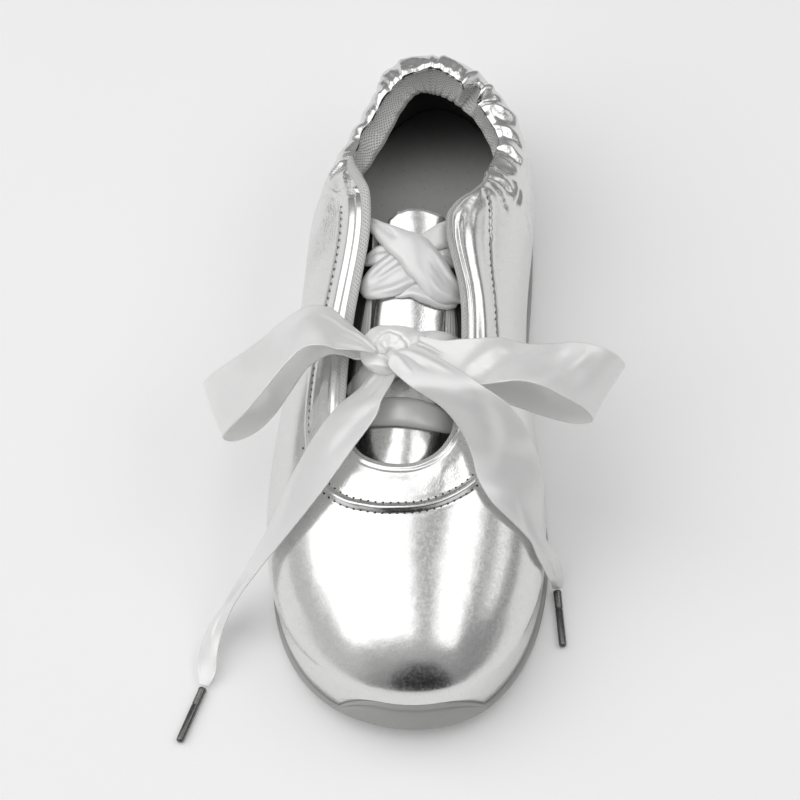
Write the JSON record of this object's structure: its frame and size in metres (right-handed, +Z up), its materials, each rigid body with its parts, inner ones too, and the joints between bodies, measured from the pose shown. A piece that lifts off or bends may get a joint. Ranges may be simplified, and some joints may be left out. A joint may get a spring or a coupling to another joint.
{
  "type": "ballet sneaker",
  "caption": "Low silver leather ballet sneaker with a gathered elastic collar, a stitched vamp seam, a rubber cup sole and a wide satin ribbon tied in a bow.",
  "frame": {"origin": "on the floor, under the middle of the sole's outline", "axes": "+X to the medial side, +Y to the heel (the toe points along -Y), +Z up"},
  "size_m": [0.1463, 0.247, 0.0851],
  "materials": {
    "sole_rubber": "matte grey",
    "insole_cloth": "matte light grey",
    "silver_leather": "glossy metallic silver",
    "tongue_leather": "glossy metallic silver",
    "gore_elastic": "ribbed grey elastic",
    "ribbon_satin": "soft white satin",
    "aglet_metal": "dark gunmetal, polished"
  },
  "bodies": {
    "root": {"outsole": "sole_rubber", "insole": "insole_cloth", "upper": "silver_leather", "tongue": "tongue_leather", "gore_lateral": "gore_elastic", "gore_medial": "gore_elastic", "lace_bar_low": "ribbon_satin", "lace_cross_low": "ribbon_satin", "lace_cross_top": "ribbon_satin", "bow_knot": "ribbon_satin", "bow_loop_lateral": "ribbon_satin", "bow_loop_medial": "ribbon_satin", "tail_lateral": "ribbon_satin", "tail_medial": "ribbon_satin", "aglet_lateral": "aglet_metal", "aglet_medial": "aglet_metal"}
  },
  "joints": []
}
